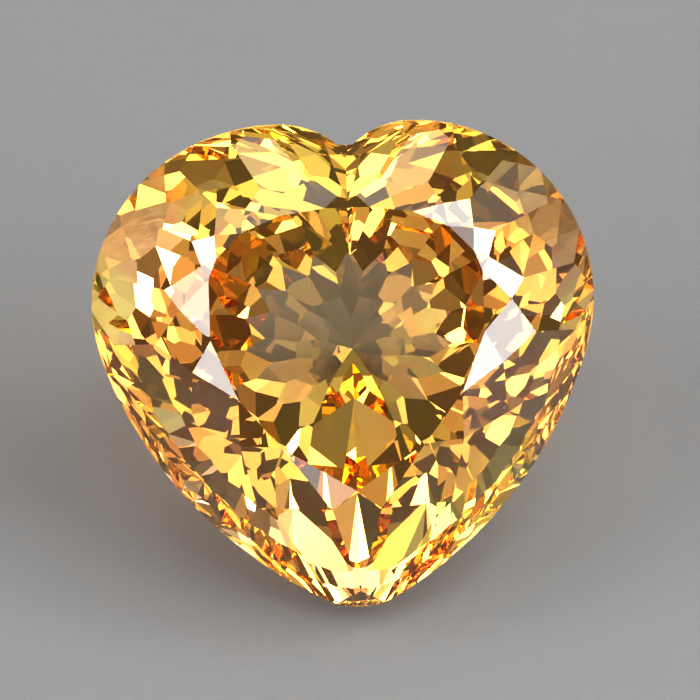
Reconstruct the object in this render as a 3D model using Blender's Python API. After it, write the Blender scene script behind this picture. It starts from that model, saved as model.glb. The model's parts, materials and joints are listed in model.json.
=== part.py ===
"""A loose heart-cut topaz, cut facet by facet as a lapidary cuts it.

The right half of the stone starts as a prism with the girdle's outline.  Every facet is then one
flat cut, placed by the direction it faces and by the points it has to meet.  The half is mirrored
to make the heart and its cleft, and the finished stone is laid down on the pavilion facet under
its point, which is how it comes to rest on a bench.

While it is cut the stone lies girdle-level, in millimetres: X to the right lobe, Y towards the
cleft, Z up through the table, with Z = 0 at the girdle's upper edge.
"""

import math

import bmesh
import bpy
import numpy as np
from mathutils import Matrix, Vector

MM = 0.001

POINT_DIRECTION = -90.0   # degrees from X
CLEFT_DIRECTION = 90.0

# Girdle outline of the right half, from the cleft round the lobe to the point.
CLEFT_Y = 8.62            # where the two lobes meet
CLEFT_HALF_WIDTH = 0.28   # half of the level floor of the cleft
CLEFT_HEADING = 42.9      # degrees above X in which the outline leaves the cleft
OUTLINE_ARCS = (          # radius, and how far the outline turns along it
    (3.17, 43.0),         # inner shoulder of the lobe
    (6.64, 107.2),        # round of the lobe
    (15.78, 43.8),        # long side
    (2.79, 28.9),         # rounded point
)
ARC_STEP = 4.5            # degrees of turn between two points of the girdle
LEFT_STRETCH = 1.066      # the left lobe is a little fuller than the right one

# Heights.
CROWN_HEIGHT = 3.1
GIRDLE_HEIGHT = 0.32
PAVILION_DEPTH = 9.0
CULET_Y = 1.0
CULET_Z = -GIRDLE_HEIGHT - PAVILION_DEPTH

# Table: the direction of each edge's outward side in degrees, and its distance from the centre.
TABLE_EDGES = (
    (90.0, 6.22),
    (82.0, 6.27),
    (66.0, 6.45),
    (44.0, 6.43),
    (22.0, 5.95),
    (0.0, 4.91),
    (-22.0, 4.00),
    (-38.0, 3.62),
    (-57.0, 3.57),
)

# Crown tiers.
STAR_DEPTH = 1.05         # how far a star facet reaches out from the table's edge
STAR_SHARE = 0.5          # and at most this share of its edge's length
KITE_RISE = 0.5           # height at which a kite facet would pass over the girdle line
RIM_WIDTH = 0.6           # reach of the small facets along the girdle
RIM_DIP = 0.12            # how far they bite into the girdle's upper edge

# Facets that fold the crown and the pavilion down into the cleft.
CLEFT_DIRECTIONS = (104.0, 122.0, CLEFT_HEADING + 90.0)
CROWN_FOLD_Y = 6.42
CROWN_FOLD_DROP = 0.12    # below the table
PAVILION_FOLD_Y = 4.6

# Pavilion: tiers of facets from the culet out to the girdle, each tier steeper than the last.
POINT_ANGLE = 39.6        # slope of the wide facet under the stone's point, which it lies on
INNER_TIERS = (           # share of the way out at which a tier ends, its slope in degrees, its
    (0.22, 35.5, 36.0, 0.5),   # facets' spacing in degrees, and the first one's turn in spacings
    (0.37, 37.6, 18.0, 0.0),
    (0.54, 40.6, 18.0, 0.5),
)
OUTER_DIRECTIONS = (      # narrow facets at the point, wide ones on the lobe
    -90.0, -84.0, -78.0, -72.0, -65.0, -58.0, -50.0, -42.0,
    -34.0, -24.0, -12.0, 4.0, 22.0, 42.0, 64.0, 90.0,
)
OUTER_TIERS = (           # share of the way out at which a tier ends, and of the height then left
    (0.70, 0.28),
    (0.85, 0.62),
    (1.00, 1.00),
)

SPARE_HEIGHT = 1.0        # how far the uncut prism stands over the stone and hangs below it
MERGE = 0.002             # facet corners nearer than this are one corner
FLAT_ANGLE = 0.2          # faces that meet at less than this many degrees are one facet


def heading(degrees):
    """Level unit vector in a direction given in degrees from X."""
    angle = math.radians(degrees)
    return np.array([math.cos(angle), math.sin(angle), 0.0])


def girdle_outline():
    """Points of the right half's outline, along its arcs from the cleft to the point."""
    points = [np.array([0.0, CLEFT_Y, 0.0]), np.array([CLEFT_HALF_WIDTH, CLEFT_Y, 0.0])]
    direction = CLEFT_HEADING
    for radius, turn in OUTLINE_ARCS:
        centre = points[-1] - radius * heading(direction + 90)
        steps = max(1, round(turn / ARC_STEP))
        for step in range(1, steps + 1):
            points.append(centre + radius * heading(direction + 90 - turn * step / steps))
        direction -= turn
    points[-1][0] = 0.0
    return points


OUTLINE = girdle_outline()
CULET = np.array([0.0, CULET_Y, CULET_Z])


def reach(direction):
    """How far the girdle reaches from the centre in a direction."""
    return max(float(point @ heading(direction)) for point in OUTLINE)


class Facet:
    """A flat cut: what lies on the outer side of the plane normal . p = offset is ground away."""

    def __init__(self, normal, offset):
        self.normal = normal
        self.offset = offset

    @classmethod
    def joining(cls, direction, point, level_reach, level):
        """Facet facing `direction` through a point, and out to `level_reach` at height `level`."""
        run = level_reach - float(point @ heading(direction))
        rise = float(point[2]) - level
        normal = abs(rise) * heading(direction)
        normal[2] = math.copysign(run, rise)
        normal = normal / np.linalg.norm(normal)
        return cls(normal, float(normal @ point))

    @classmethod
    def upright(cls, direction, distance):
        """Upright guide plane, used to place corners."""
        return cls(heading(direction), distance)

    @classmethod
    def through(cls, first, second, third):
        """Crown facet through three corners."""
        normal = np.cross(second - first, third - first)
        normal = normal * math.copysign(1.0, normal[2]) / np.linalg.norm(normal)
        return cls(normal, float(normal @ first))

    def mirrored(self):
        """The same facet on the other lobe."""
        return Facet(self.normal * (-1, 1, 1), self.offset)


def corner(first, second, third):
    """The point where three planes meet."""
    planes = (first, second, third)
    return np.linalg.solve([plane.normal for plane in planes], [plane.offset for plane in planes])


def crown_facets():
    """Table, stars, two tiers of kites and the rim facets of the right half."""
    table = Facet(np.array([0.0, 0.0, 1.0]), CROWN_HEIGHT)
    edges = [Facet.upright(direction, distance) for direction, distance in TABLE_EDGES]
    directions = [direction for direction, distance in TABLE_EDGES]

    # A kite hangs from each table corner and faces halfway between the two edges there.
    corners = [corner(table, edge, after) for edge, after in zip(edges, edges[1:])]
    corners.append(corner(table, edges[-1], edges[-1].mirrored()))
    kite_directions = [(one + two) / 2 for one, two in zip(directions, directions[1:])]
    kite_directions.append(POINT_DIRECTION)
    kites = [Facet.joining(facing, point, reach(facing), KITE_RISE)
             for facing, point in zip(kite_directions, corners)]

    # A star and a long kite share each table edge: the star's outer corner is where the long
    # kite starts, and the long kite runs down to touch the girdle.
    stars = []
    long_kites = []
    befores = [kites[0].mirrored()] + kites[:-1]
    starts = [corners[0] * (-1, 1, 1)] + corners[:-1]
    for edge, facing, before, kite, start, end in zip(edges, directions, befores, kites, starts, corners):
        depth = min(STAR_DEPTH, STAR_SHARE * float(np.linalg.norm(end - start)))
        tip = corner(before, kite, Facet.upright(facing, edge.offset + depth))
        stars.append(Facet.through(start, end, tip))
        long_kites.append(Facet.joining(facing, tip, reach(facing), 0.0))

    # Small rim facets stand between the long kites and bite into the girdle.
    rims = []
    afters = long_kites[1:] + [long_kites[-1].mirrored()]
    for facing, before, after in zip(kite_directions, long_kites, afters):
        top = corner(before, after, Facet.upright(facing, reach(facing) - RIM_WIDTH))
        rims.append(Facet.joining(facing, top, reach(facing), -RIM_DIP))

    apex = np.array([0.0, CROWN_FOLD_Y, CROWN_HEIGHT - CROWN_FOLD_DROP])
    folds = [Facet.joining(facing, apex, reach(facing), -RIM_DIP) for facing in CLEFT_DIRECTIONS]
    return [table] + kites + stars + long_kites + rims + folds


def point_facet():
    """The wide facet that climbs from the culet to the stone's point."""
    angle = math.radians(POINT_ANGLE)
    normal = math.sin(angle) * heading(POINT_DIRECTION)
    normal[2] = -math.cos(angle)
    return Facet(normal, float(normal @ CULET))


def pavilion_height(span, share):
    """Height of the pavilion at a share of the way out, where the girdle is `span` from the culet.

    The inner tiers climb at their slopes, and the outer tiers divide the height that is left.
    """
    shares = [0.0]
    rises = [0.0]
    for end, slope, _, _ in INNER_TIERS:
        rises.append(rises[-1] + (end - shares[-1]) * span * math.tan(math.radians(slope)))
        shares.append(end)
    inner_rise = rises[-1]
    for end, climbed in OUTER_TIERS:
        rises.append(inner_rise + climbed * (PAVILION_DEPTH - inner_rise))
        shares.append(end)
    return CULET_Z + float(np.interp(share, shares, rises))


def tier_facet(direction, start, end):
    """Pavilion facet between two shares of the way from the culet to the girdle."""
    middle = float(CULET @ heading(direction))
    span = reach(direction) - middle
    low = CULET + span * start * heading(direction)
    low[2] = pavilion_height(span, start)
    return Facet.joining(direction, low, middle + span * end, pavilion_height(span, end))


def fan(spacing, turn):
    """Directions a spacing apart, from `turn` spacings past the point round to the cleft."""
    return np.arange(POINT_DIRECTION + turn * spacing, CLEFT_DIRECTION + MERGE, spacing)


def pavilion_tiers():
    """For each tier, the share of the way out at which it ends and how its facets face.

    Each tier's facets face halfway between those of the tier inside it, or nearly so.
    """
    tiers = [(end, fan(spacing, turn)) for end, _, spacing, turn in INNER_TIERS]
    directions = np.array(OUTER_DIRECTIONS)
    halfway = (directions[1:] + directions[:-1]) / 2
    tiers += [(end, halfway if number % 2 else directions) for number, (end, _) in enumerate(OUTER_TIERS)]
    return tiers


def pavilion_facets():
    """The facet under the point, the tiers from the culet outwards, and the folds into the cleft."""
    facets = [point_facet()]
    start = 0.0
    for end, directions in pavilion_tiers():
        facets += [tier_facet(direction, start, end) for direction in directions]
        start = end
    span = reach(CLEFT_DIRECTION) - CULET_Y
    fold_height = pavilion_height(span, (PAVILION_FOLD_Y - CULET_Y) / span)
    apex = np.array([0.0, PAVILION_FOLD_Y, fold_height])
    facets += [Facet.joining(facing, apex, reach(facing), -GIRDLE_HEIGHT) for facing in CLEFT_DIRECTIONS]
    return facets


def cut(stone, facet):
    """Grind one flat facet and close the face it leaves."""
    result = bmesh.ops.bisect_plane(
        stone,
        geom=stone.verts[:] + stone.edges[:] + stone.faces[:],
        dist=MERGE / 2,
        plane_co=Vector(facet.normal * facet.offset),
        plane_no=Vector(facet.normal),
        clear_outer=True,
    )
    rim = [item for item in result["geom_cut"] if isinstance(item, bmesh.types.BMEdge)]
    open_rim = [edge for edge in rim if edge.is_boundary]
    if open_rim:
        bmesh.ops.holes_fill(stone, edges=open_rim)


def half_prism():
    """Upright prism with the right half's outline, taller than the finished stone."""
    stone = bmesh.new()
    bottom = CULET_Z - SPARE_HEIGHT
    top = CROWN_HEIGHT + SPARE_HEIGHT
    base = stone.faces.new([stone.verts.new((point[0], point[1], bottom)) for point in OUTLINE])
    grown = bmesh.ops.extrude_face_region(stone, geom=[base])
    lifted = [item for item in grown["geom"] if isinstance(item, bmesh.types.BMVert)]
    bmesh.ops.translate(stone, verts=lifted, vec=(0.0, 0.0, top - bottom))
    bmesh.ops.recalc_face_normals(stone, faces=stone.faces[:])
    return stone


def cut_stone():
    """Cut the half, mirror it to a heart and join the facets that cross the middle."""
    stone = half_prism()
    for facet in crown_facets() + pavilion_facets():
        cut(stone, facet)
    inner_wall = [face for face in stone.faces if all(abs(vert.co.x) < MERGE for vert in face.verts)]
    bmesh.ops.delete(stone, geom=inner_wall, context="FACES")
    half = stone.verts[:] + stone.edges[:] + stone.faces[:]
    bmesh.ops.mirror(stone, geom=half, axis="X", merge_dist=MERGE)
    left = [vert for vert in stone.verts if vert.co.x < -MERGE]
    bmesh.ops.scale(stone, verts=left, vec=(LEFT_STRETCH, 1.0, 1.0))
    bmesh.ops.remove_doubles(stone, verts=stone.verts[:], dist=MERGE)
    flat = math.radians(FLAT_ANGLE)
    bmesh.ops.dissolve_limit(stone, angle_limit=flat, verts=stone.verts[:], edges=stone.edges[:])
    bmesh.ops.recalc_face_normals(stone, faces=stone.faces[:])
    return stone


def lay_down(stone):
    """Turn the stone until the wide facet under its point lies level at Z = 0.

    The origin is then under the middle of the stone, on the surface that it lies on, in metres.
    """
    tilt = math.radians(POINT_ANGLE)
    bmesh.ops.rotate(stone, verts=stone.verts[:], cent=(0.0, 0.0, 0.0), matrix=Matrix.Rotation(tilt, 3, "X"))
    corners = np.array([vert.co for vert in stone.verts])
    low = corners.min(axis=0)
    middle = (low + corners.max(axis=0)) / 2
    bmesh.ops.translate(stone, verts=stone.verts[:], vec=(-middle[0], -middle[1], -low[2]))
    bmesh.ops.scale(stone, verts=stone.verts[:], vec=(MM, MM, MM))


def topaz_material():
    """Clear golden topaz."""
    material = bpy.data.materials.new("topaz")
    material.use_nodes = True
    shader = material.node_tree.nodes["Principled BSDF"]
    shader.inputs["Base Color"].default_value = (0.98, 0.66, 0.16, 1.0)
    shader.inputs["Roughness"].default_value = 0.0
    shader.inputs["Metallic"].default_value = 0.0
    shader.inputs["IOR"].default_value = 1.62
    shader.inputs["Transmission Weight"].default_value = 1.0
    return material


def main():
    for item in list(bpy.data.objects):
        bpy.data.objects.remove(item)
    collection = bpy.data.collections.new("topaz_gemstone")
    bpy.context.scene.collection.children.link(collection)

    stone = cut_stone()
    lay_down(stone)
    mesh = bpy.data.meshes.new("gemstone")
    stone.to_mesh(mesh)
    stone.free()
    mesh.materials.append(topaz_material())
    collection.objects.link(bpy.data.objects.new("gemstone", mesh))


main()
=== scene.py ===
"""A loose heart-cut topaz on a pale bench, in a small tent of soft light panels.

The stone is the solid as it was cut.  Here it gets its crystal, with the golden colour in its
depth, and round it stand the bench, the panels of the light tent and the camera.
"""

import json
import math

import bpy
import numpy as np
from mathutils import Matrix, Vector

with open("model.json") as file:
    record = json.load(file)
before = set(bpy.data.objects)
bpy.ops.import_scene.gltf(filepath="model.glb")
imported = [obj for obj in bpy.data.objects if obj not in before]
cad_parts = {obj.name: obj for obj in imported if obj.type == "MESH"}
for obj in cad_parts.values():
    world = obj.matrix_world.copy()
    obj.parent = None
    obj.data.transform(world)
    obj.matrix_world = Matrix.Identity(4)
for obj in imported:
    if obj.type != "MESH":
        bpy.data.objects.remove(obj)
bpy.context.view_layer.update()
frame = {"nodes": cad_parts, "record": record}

MM = 0.001
STONE = frame["nodes"]["gemstone"]
TABLE = next(mount for mount in frame["record"]["mounts"] if mount["name"] == "table")

# The stone's own directions: out of the table, across the heart, and towards its cleft.
FACE = Vector(TABLE["axis"]).normalized()
ACROSS = Vector((1.0, 0.0, 0.0))
CLEFT = FACE.cross(ACROSS).normalized()

# Camera: square to the table, with its distances in metres and its sensor in millimetres.
# LEAN and the first number of AIM come from a program's fit.
FRAME_WIDTH = 26.12 * MM
CAMERA_DISTANCE = 0.30
SENSOR_WIDTH = 36.0
LEAN = 1.97                   # degrees that the stone leans to one side in the view
CULET_DEPTH = 9.32 * MM       # from the girdle's upper edge down to the culet
AIM = (-0.09 * MM, -0.04 * MM)   # middle of the view, from the culet across and to the cleft
CLIP_START = 0.01
CLIP_END = 10.0

# Crystal.
TOPAZ_IOR = 1.62
GOLD = (0.99, 0.82, 0.20, 1.0)   # colour that the crystal spares: after x metres the light is
GOLD_DENSITY = 100.0             # down to e to the power of -(1 - GOLD) * GOLD_DENSITY * x
# Painted light and shade in the stone's surface tint: lemon painted as lit, amber painted as shade,
# and a pale core painted to grey the gold seen through the table.
PAINTED_LIGHT_LEMON = (1.0, 1.0, 0.58, 1.0)    # painted light: tint where the stone is shown brightest lit
PAINTED_SHADE_AMBER = (1.0, 0.58, 0.56, 1.0)   # painted shade: tint where it is shown in shade, reddest
PAINTED_PALE_CORE = (0.78, 0.77, 1.0, 1.0)    # painted into its core, where it greys the gold seen through the table
PAINTED_LIGHT_SPOT = 7.0 * MM         # from the core to the middle of the part painted as lit at the cleft
PAINTED_LIGHT_REACH = (2.0 * MM, 5.0 * MM)   # distances between which that part fades out
PAINTED_CORE_REACH = (3.5 * MM, 6.0 * MM)    # and between which the painted pale core does
PAINTED_PATCH_SCALE = 260.0            # waves of painted bright patches per metre
PAINTED_PATCH_NOISE = (0.52, 0.62)    # noise between which painted shade turns to a painted bright patch
GIRDLE_BAND = (-0.40 * MM, -0.02 * MM)   # heights between which the girdle's wall is left matt
GIRDLE_FADE = 0.05 * MM       # height over which the polish turns matt at either edge
GRIND_SCALE = 9000.0          # grains of the grinding per metre
GRIND_DETAIL = 3.0
GRIND_ROUGHNESS = (0.12, 0.30)
NOISE_SPREAD = (0.3, 0.7)     # the part of its range that noise mostly keeps to
LIGHT_BOUNCES = 32            # facets that light may meet on its way through the stone

# Bench.
BENCH_RADIUS = 1.4
BENCH_RINGS = 24
BENCH_SPOKES = 72
BENCH_CROWDING = 3            # power by which its rings crowd together under the stone
BENCH_DROP = 0.02 * MM        # the stone's facet stands this far above the card
BENCH_GREY = (0.105, 0.105, 0.105, 1.0)
SHADE_SPREAD = 0.06           # share by which the card is darker here and lighter there
SHADE_NOISE = (0.6, 1.4)      # sum of both noises between which it goes from dark to light
FIBRE_SCALE = 2500.0          # fibres per metre
FIBRE_DETAIL = 5.0
FIBRE_ROUGHNESS = (0.55, 0.70)
FIBRE_STRENGTH = 0.2
FIBRE_RELIEF = 0.02 * MM
CLOUD_SCALE = 25.0            # slow clouds in the card's grey, per metre
CLOUD_DETAIL = 3.0

# Light tent: for each ring of panels, where it starts and ends in degrees off the table's
# axis, where its first panel stands in degrees from ACROSS, and the brightness of each panel.
# The brightnesses and ROOM_GREY were found by a search program and weren't chosen by hand.
TENT_RADIUS = 0.5
PANEL_FILL = 0.98             # share of its cell of the tent that a panel fills
PANEL_LEVEL = 1.05            # all the brightnesses below are times this
LOWEST_PANEL = 0.06           # share of the radius under which the bench is in the way
ROOM_GREY = 0.12
RINGS = (
    (9.0, 14.0, 45.0, (1.5, 0.5, 1.5, 1.5)),
    (14.0, 24.0, 22.5, (1.5, 2.2, 0.5, 0.8, 3.5, 0.2, 0.0, 1.0)),
    (24.0, 35.0, 18.0, (0.5, 0.2, 7.0, 0.2, 1.5, 0.2, 0.0, 0.0, 0.0, 0.5)),
    (35.0, 47.0, 18.0, (7.0, 0.5, 2.2, 0.0, 0.0, 0.5, 3.5, 1.0, 0.0, 0.5)),
    (47.0, 60.0, 18.0, (9.0, 4.0, 0.0, 0.5, 9.0, 9.0, 0.0, 0.0, 0.0, 13.0)),
    (60.0, 74.0, 11.25, (
        13.0, 13.0, 9.0, 1.0, 2.0, 2.0, 13.0, 6.0, 0.0, 0.0, 0.0, 0.0, 0.0, 0.0, 0.0, 9.0,
    )),
    (74.0, 90.0, 11.25, (
        0.5, 1.0, 0.0, 2.0, 2.0, 0.0, 0.0, 0.0, 0.0, 0.0, 0.0, 0.0, 0.0, 0.0, 0.0, 0.0,
    )),
)


def stone_points():
    """Every corner of the stone, as rows of x, y, z."""
    points = np.empty(3 * len(STONE.data.vertices))
    STONE.data.vertices.foreach_get("co", points)
    return points.reshape(-1, 3)


def girdle_centre():
    """Point over the culet, level with the girdle's upper edge: the culet is the deepest corner."""
    points = stone_points()
    culet = points[np.argmin(points @ np.array(FACE))]
    return Vector(culet) + CULET_DEPTH * FACE


MIDDLE = girdle_centre()


def camera():
    """Long lens looking straight down the table's axis."""
    data = bpy.data.cameras.new("camera")
    data.sensor_width = SENSOR_WIDTH
    data.lens = SENSOR_WIDTH * CAMERA_DISTANCE / FRAME_WIDTH
    data.clip_start = CLIP_START
    data.clip_end = CLIP_END
    lean = math.radians(LEAN)
    up = math.sin(lean) * ACROSS + math.cos(lean) * CLEFT
    right = up.cross(FACE).normalized()
    place = MIDDLE + AIM[0] * ACROSS + AIM[1] * CLEFT + CAMERA_DISTANCE * FACE
    view = bpy.data.objects.new("camera", data)
    view.matrix_world = Matrix.Translation(place) @ Matrix((right, up, FACE)).transposed().to_4x4()
    bpy.context.scene.collection.objects.link(view)
    bpy.context.scene.camera = view


class Finish:
    """A material and short calls that add nodes to it."""

    def __init__(self, name):
        self.material = bpy.data.materials.new(name)
        self.material.use_nodes = True
        self.nodes = self.material.node_tree.nodes
        self.links = self.material.node_tree.links
        self.shader = self.nodes["Principled BSDF"]
        self.place = self.nodes.new("ShaderNodeTexCoord").outputs["Object"]

    def join(self, source, target):
        """Lead an output, or set a number or colour, into an input."""
        if isinstance(source, bpy.types.NodeSocket):
            self.links.new(source, target)
        else:
            target.default_value = source

    def turned(self, shift, turn):
        """The object's coordinates, turned about X in degrees and then shifted along Z."""
        node = self.nodes.new("ShaderNodeMapping")
        node.inputs["Location"].default_value = (0.0, 0.0, shift)
        node.inputs["Rotation"].default_value = (math.radians(turn), 0.0, 0.0)
        self.links.new(self.place, node.inputs["Vector"])
        return node.outputs["Vector"]

    def height(self, place):
        """The Z of a coordinate."""
        node = self.nodes.new("ShaderNodeSeparateXYZ")
        self.links.new(place, node.inputs["Vector"])
        return node.outputs["Z"]

    def off_axis(self, place, spot):
        """How far a coordinate is from the upright line through a spot on its level plane."""
        level = self.nodes.new("ShaderNodeVectorMath")
        level.operation = "MULTIPLY"
        level.inputs[1].default_value = (1.0, 1.0, 0.0)
        self.links.new(place, level.inputs[0])
        reach = self.nodes.new("ShaderNodeVectorMath")
        reach.operation = "DISTANCE"
        reach.inputs[1].default_value = (spot[0], spot[1], 0.0)
        self.links.new(level.outputs["Vector"], reach.inputs[0])
        return reach.outputs["Value"]

    def noise(self, place, scale, detail=2.0):
        """Soft noise from 0 to 1, `scale` waves to a metre."""
        node = self.nodes.new("ShaderNodeTexNoise")
        node.inputs["Scale"].default_value = scale
        node.inputs["Detail"].default_value = detail
        self.links.new(place, node.inputs["Vector"])
        return node.outputs["Fac"]

    def math(self, operation, first, second):
        """One sum on two numbers or outputs."""
        node = self.nodes.new("ShaderNodeMath")
        node.operation = operation
        self.join(first, node.inputs[0])
        self.join(second, node.inputs[1])
        return node.outputs["Value"]

    def ramp(self, value, low, high, start=0.0, end=1.0):
        """Carry a value from the range low..high to start..end, and no further."""
        node = self.nodes.new("ShaderNodeMapRange")
        node.inputs["From Min"].default_value = low
        node.inputs["From Max"].default_value = high
        node.inputs["To Min"].default_value = start
        node.inputs["To Max"].default_value = end
        self.links.new(value, node.inputs["Value"])
        return node.outputs["Result"]

    def mix(self, share, one, other):
        """Colour between two colours or outputs."""
        node = self.nodes.new("ShaderNodeMix")
        node.data_type = "RGBA"
        self.links.new(share, node.inputs["Factor"])
        self.join(one, node.inputs["A"])
        self.join(other, node.inputs["B"])
        return node.outputs["Result"]

    def bump(self, height, strength, distance):
        """Relief on the surface, `distance` metres deep."""
        node = self.nodes.new("ShaderNodeBump")
        node.inputs["Strength"].default_value = strength
        node.inputs["Distance"].default_value = distance
        self.links.new(height, node.inputs["Height"])
        self.links.new(node.outputs["Normal"], self.shader.inputs["Normal"])


def golden_topaz():
    """Clear golden crystal with polished facets and a matt girdle.

    The gold is absorbed light, so it deepens with the way that light goes inside.  The surface
    tint is painted light and shade: amber painted as shade, lemon patches on slow noise painted
    as bright spots, all lemon near the cleft painted as lit, and pale round the core, painted to
    grey the gold seen through the table.  The girdle's band, read from the height along the
    table's axis, keeps the fine grain of the grinding wheel.
    """
    finish = Finish("golden_topaz")
    shader = finish.shader
    shader.inputs["IOR"].default_value = TOPAZ_IOR
    shader.inputs["Transmission Weight"].default_value = 1.0

    depth = finish.nodes.new("ShaderNodeVolumeAbsorption")
    depth.inputs["Color"].default_value = GOLD
    depth.inputs["Density"].default_value = GOLD_DENSITY
    finish.links.new(depth.outputs["Volume"], finish.nodes["Material Output"].inputs["Volume"])

    # Height over the girdle's upper edge, along the table's axis.
    tilt = math.degrees(math.atan2(FACE.y, FACE.z))
    place = finish.turned(-MIDDLE.dot(FACE), tilt)
    height = finish.height(place)

    # Painted light and shade in the tint: lemon painted as lit at the cleft and in patches, amber
    # painted as shade between them, and a pale core painted to grey the gold seen through the
    # table.
    core = MIDDLE.dot(CLEFT)
    cleft = finish.off_axis(place, (0.0, core + PAINTED_LIGHT_SPOT))
    near = finish.ramp(cleft, *PAINTED_LIGHT_REACH, 1.0, 0.0)
    painted_patches = finish.ramp(finish.noise(place, PAINTED_PATCH_SCALE), *PAINTED_PATCH_NOISE)
    painted_light_share = finish.math("MAXIMUM", near, painted_patches)
    painted_core_share = finish.ramp(finish.off_axis(place, (0.0, core)), *PAINTED_CORE_REACH, 1.0, 0.0)
    painted_tint = finish.mix(painted_core_share, finish.mix(painted_light_share, PAINTED_SHADE_AMBER, PAINTED_LIGHT_LEMON), PAINTED_PALE_CORE)
    # The painted light and shade goes into the stone's base colour.
    finish.links.new(painted_tint, shader.inputs["Base Color"])

    # The girdle's wall is ground and left matt, and every facet above and below it is polished.
    low, high = GIRDLE_BAND
    over = finish.ramp(height, low, low + GIRDLE_FADE)
    under = finish.ramp(height, high - GIRDLE_FADE, high, 1.0, 0.0)
    girdle = finish.math("MULTIPLY", over, under)
    grinding = finish.noise(place, GRIND_SCALE, GRIND_DETAIL)
    grain = finish.ramp(grinding, *NOISE_SPREAD, *GRIND_ROUGHNESS)
    finish.links.new(finish.math("MULTIPLY", girdle, grain), shader.inputs["Roughness"])
    return finish.material


def pale_card():
    """Matt card: fine fibres in its grey, its sheen and its relief."""
    finish = Finish("pale_card")
    fibres = finish.noise(finish.place, FIBRE_SCALE, FIBRE_DETAIL)
    clouds = finish.noise(finish.place, CLOUD_SCALE, CLOUD_DETAIL)
    shade = finish.ramp(finish.math("ADD", fibres, clouds), *SHADE_NOISE)
    darker = tuple((1 - SHADE_SPREAD) * value for value in BENCH_GREY[:3]) + (1.0,)
    lighter = tuple((1 + SHADE_SPREAD) * value for value in BENCH_GREY[:3]) + (1.0,)
    finish.links.new(finish.mix(shade, darker, lighter), finish.shader.inputs["Base Color"])
    sheen = finish.ramp(fibres, *NOISE_SPREAD, *FIBRE_ROUGHNESS)
    finish.links.new(sheen, finish.shader.inputs["Roughness"])
    finish.bump(fibres, FIBRE_STRENGTH, FIBRE_RELIEF)
    return finish.material


def bench():
    """Round flat card: point (i, j) is at radius R t^c and angle a, at one height.

    t goes from 0 to 1 with the ring number i, a goes once round with j, and c is the crowding of
    the rings towards the stone.  The middle is one point, closed by triangles.
    """
    share = (np.arange(1, BENCH_RINGS + 1) / BENCH_RINGS)[:, None]
    angle = (2 * np.pi * np.arange(BENCH_SPOKES) / BENCH_SPOKES)[None, :]
    radius = BENCH_RADIUS * share**BENCH_CROWDING
    level = np.full((BENCH_RINGS, BENCH_SPOKES), -BENCH_DROP)
    sheet = np.stack([radius * np.cos(angle), radius * np.sin(angle), level], axis=-1)
    points = np.vstack([[[0.0, 0.0, -BENCH_DROP]], sheet.reshape(-1, 3)])

    around = np.arange(BENCH_SPOKES)
    after = (around + 1) % BENCH_SPOKES
    near = 1 + BENCH_SPOKES * np.arange(BENCH_RINGS - 1)[:, None]
    far = near + BENCH_SPOKES
    quads = np.stack([near + around, far + around, far + after, near + after], axis=-1)
    fan = np.stack([np.zeros(BENCH_SPOKES, int), 1 + around, 1 + after], axis=-1)

    mesh = bpy.data.meshes.new("bench")
    mesh.from_pydata(points.tolist(), [], fan.tolist() + quads.reshape(-1, 4).tolist())
    mesh.materials.append(pale_card())
    card = bpy.data.objects.new("bench", mesh)
    bpy.context.scene.collection.objects.link(card)


def panel(name, off_axis, around, width, height, brightness):
    """Flat soft light facing the stone, at two angles in degrees: off FACE, and round from ACROSS.

    The light it gives in watts is its brightness times the panel level, pi and its area.
    """
    tip = math.radians(off_axis)
    turn = math.radians(around)
    outward = math.cos(turn) * ACROSS + math.sin(turn) * CLEFT
    sideways = -math.sin(turn) * ACROSS + math.cos(turn) * CLEFT
    direction = math.cos(tip) * FACE + math.sin(tip) * outward
    if direction.z < LOWEST_PANEL:
        return
    light = bpy.data.lights.new(name, "AREA")
    light.shape = "RECTANGLE"
    light.size = width
    light.size_y = height
    light.energy = PANEL_LEVEL * brightness * math.pi * width * height
    lamp = bpy.data.objects.new(name, light)
    axes = Matrix((sideways, direction.cross(sideways), direction)).transposed().to_4x4()
    lamp.matrix_world = Matrix.Translation(MIDDLE + TENT_RADIUS * direction) @ axes
    bpy.context.scene.collection.objects.link(lamp)


def light_tent():
    """Rings of panels on a half globe over the table, and the grey room beyond them."""
    for number, (start, end, first, levels) in enumerate(RINGS):
        off_axis = (start + end) / 2
        step = 360.0 / len(levels)
        width = PANEL_FILL * TENT_RADIUS * math.sin(math.radians(off_axis)) * math.radians(step)
        height = PANEL_FILL * TENT_RADIUS * math.radians(end - start)
        for place, brightness in enumerate(levels):
            if brightness:
                name = f"panel_{number}_{place}"
                panel(name, off_axis, first + place * step, width, height, brightness)
    room = bpy.data.worlds.new("room")
    room.use_nodes = True
    glow = room.node_tree.nodes["Background"]
    glow.inputs["Color"].default_value = (ROOM_GREY, ROOM_GREY, ROOM_GREY, 1.0)
    bpy.context.scene.world = room


STONE.data.materials.clear()
STONE.data.materials.append(golden_topaz())
bench()
light_tent()
camera()

scene = bpy.context.scene
scene.view_settings.view_transform = "Standard"
scene.view_settings.look = "Medium High Contrast"
scene.cycles.max_bounces = LIGHT_BOUNCES
scene.cycles.transmission_bounces = LIGHT_BOUNCES
scene.cycles.glossy_bounces = LIGHT_BOUNCES
